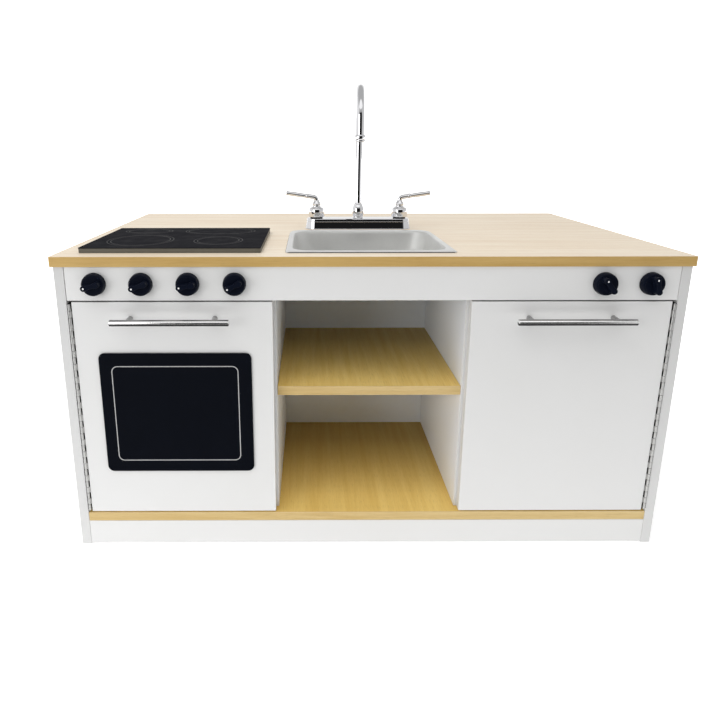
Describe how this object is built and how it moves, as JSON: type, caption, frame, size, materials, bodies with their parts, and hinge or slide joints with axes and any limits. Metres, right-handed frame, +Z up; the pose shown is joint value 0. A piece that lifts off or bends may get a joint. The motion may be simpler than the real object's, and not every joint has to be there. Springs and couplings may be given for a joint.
{
  "type": "toy kitchen",
  "caption": "Low play kitchen island with a hob, sink and gooseneck tap in an oak-look worktop, turning knobs, a windowed oven door, a cupboard door and an open shelved bay.",
  "frame": {"origin": "on the floor under the middle of the overall bounding box, handles included", "axes": "+X to the right seen from the front, +Y to the back, +Z up; the doors and knobs face -Y"},
  "size_m": [1.2, 0.692, 0.9428],
  "materials": {
    "oak": "oak-grain laminate with a matching edge band, satin",
    "white": "white laminate on board, satin",
    "backing": "white backing board, matt",
    "black_gloss": "black gloss with thin light-grey printed lines",
    "knob_black": "black moulded plastic with a white dot",
    "stainless": "satin stainless steel",
    "chrome": "polished chrome plate",
    "zinc": "zinc-plated or nickel-plated hardware",
    "catch_white": "white moulded plastic"
  },
  "bodies": {
    "cabinet": {"worktop": "oak", "bottom_panel": "oak", "bay_shelf": "oak", "side_panel_left": "white", "side_panel_right": "white", "divider_left": "white", "divider_right": "white", "plinth": "white", "control_panel": "white", "back_panel": "backing", "hob_plate": "black_gloss", "sink_bowl": "stainless", "drain_strainer": "stainless", "oven_hinge_frame_leaf": "zinc", "oven_hinge_pin": "zinc", "oven_magnetic_catch": "catch_white", "cupboard_hinge_frame_leaf": "zinc", "cupboard_hinge_pin": "zinc", "cupboard_magnetic_catch": "catch_white", "knob_spindle_1": "zinc", "knob_spindle_2": "zinc", "knob_spindle_3": "zinc", "knob_spindle_4": "zinc", "knob_spindle_5": "zinc", "knob_spindle_6": "zinc", "drain_nut": "zinc", "tap_valve_left": "zinc", "tap_valve_right": "zinc", "tap_nut_left": "zinc", "tap_nut_right": "zinc", "tap_deck_plate": "chrome", "spout_nut": "chrome"},
    "oven_door": {"oven_door": "white", "oven_handle_bar": "stainless", "oven_handle_post_left": "stainless", "oven_handle_post_right": "stainless", "oven_handle_screw_left": "zinc", "oven_handle_screw_right": "zinc", "oven_hinge_door_leaf": "zinc", "oven_strike_plate": "zinc", "oven_window": "black_gloss"},
    "cupboard_door": {"cupboard_door": "white", "cupboard_handle_bar": "stainless", "cupboard_handle_post_left": "stainless", "cupboard_handle_post_right": "stainless", "cupboard_handle_screw_left": "zinc", "cupboard_handle_screw_right": "zinc", "cupboard_hinge_door_leaf": "zinc", "cupboard_strike_plate": "zinc"},
    "knob_1": {"knob_1": "knob_black"},
    "knob_2": {"knob_2": "knob_black"},
    "knob_3": {"knob_3": "knob_black"},
    "knob_4": {"knob_4": "knob_black"},
    "knob_5": {"knob_5": "knob_black"},
    "knob_6": {"knob_6": "knob_black"},
    "tap_lever_left": {"tap_lever_left": "chrome"},
    "tap_lever_right": {"tap_lever_right": "chrome"},
    "spout": {"spout": "chrome", "aerator": "chrome"}
  },
  "joints": [
    {"name": "oven_door_hinge", "type": "hinge", "parent": "cabinet", "child": "oven_door", "pos_m": [-0.57075, -0.3115, 0.3], "axis": [0, 0, -1], "range_deg": [0, 180]},
    {"name": "cupboard_door_hinge", "type": "hinge", "parent": "cabinet", "child": "cupboard_door", "pos_m": [0.57075, -0.3115, 0.3], "axis": [0, 0, 1], "range_deg": [0, 180]},
    {"name": "knob_1_turn", "type": "hinge", "parent": "cabinet", "child": "knob_1", "pos_m": [-0.519, -0.311, 0.5605], "axis": [0, -1, 0], "continuous": true},
    {"name": "knob_2_turn", "type": "hinge", "parent": "cabinet", "child": "knob_2", "pos_m": [-0.432, -0.311, 0.5605], "axis": [0, -1, 0], "continuous": true},
    {"name": "knob_3_turn", "type": "hinge", "parent": "cabinet", "child": "knob_3", "pos_m": [-0.345, -0.311, 0.5605], "axis": [0, -1, 0], "continuous": true},
    {"name": "knob_4_turn", "type": "hinge", "parent": "cabinet", "child": "knob_4", "pos_m": [-0.258, -0.311, 0.5605], "axis": [0, -1, 0], "continuous": true},
    {"name": "knob_5_turn", "type": "hinge", "parent": "cabinet", "child": "knob_5", "pos_m": [0.432, -0.311, 0.5605], "axis": [0, -1, 0], "continuous": true},
    {"name": "knob_6_turn", "type": "hinge", "parent": "cabinet", "child": "knob_6", "pos_m": [0.519, -0.311, 0.5605], "axis": [0, -1, 0], "continuous": true},
    {"name": "tap_lever_left_turn", "type": "hinge", "parent": "cabinet", "child": "tap_lever_left", "pos_m": [-0.1016, 0.049, 0.65], "axis": [0, 0, 1], "range_deg": [0, 90]},
    {"name": "tap_lever_right_turn", "type": "hinge", "parent": "cabinet", "child": "tap_lever_right", "pos_m": [0.1016, 0.049, 0.65], "axis": [0, 0, -1], "range_deg": [0, 90]},
    {"name": "spout_swivel", "type": "hinge", "parent": "cabinet", "child": "spout", "pos_m": [0, 0.049, 0.7], "axis": [0, 0, 1], "continuous": true}
  ]
}
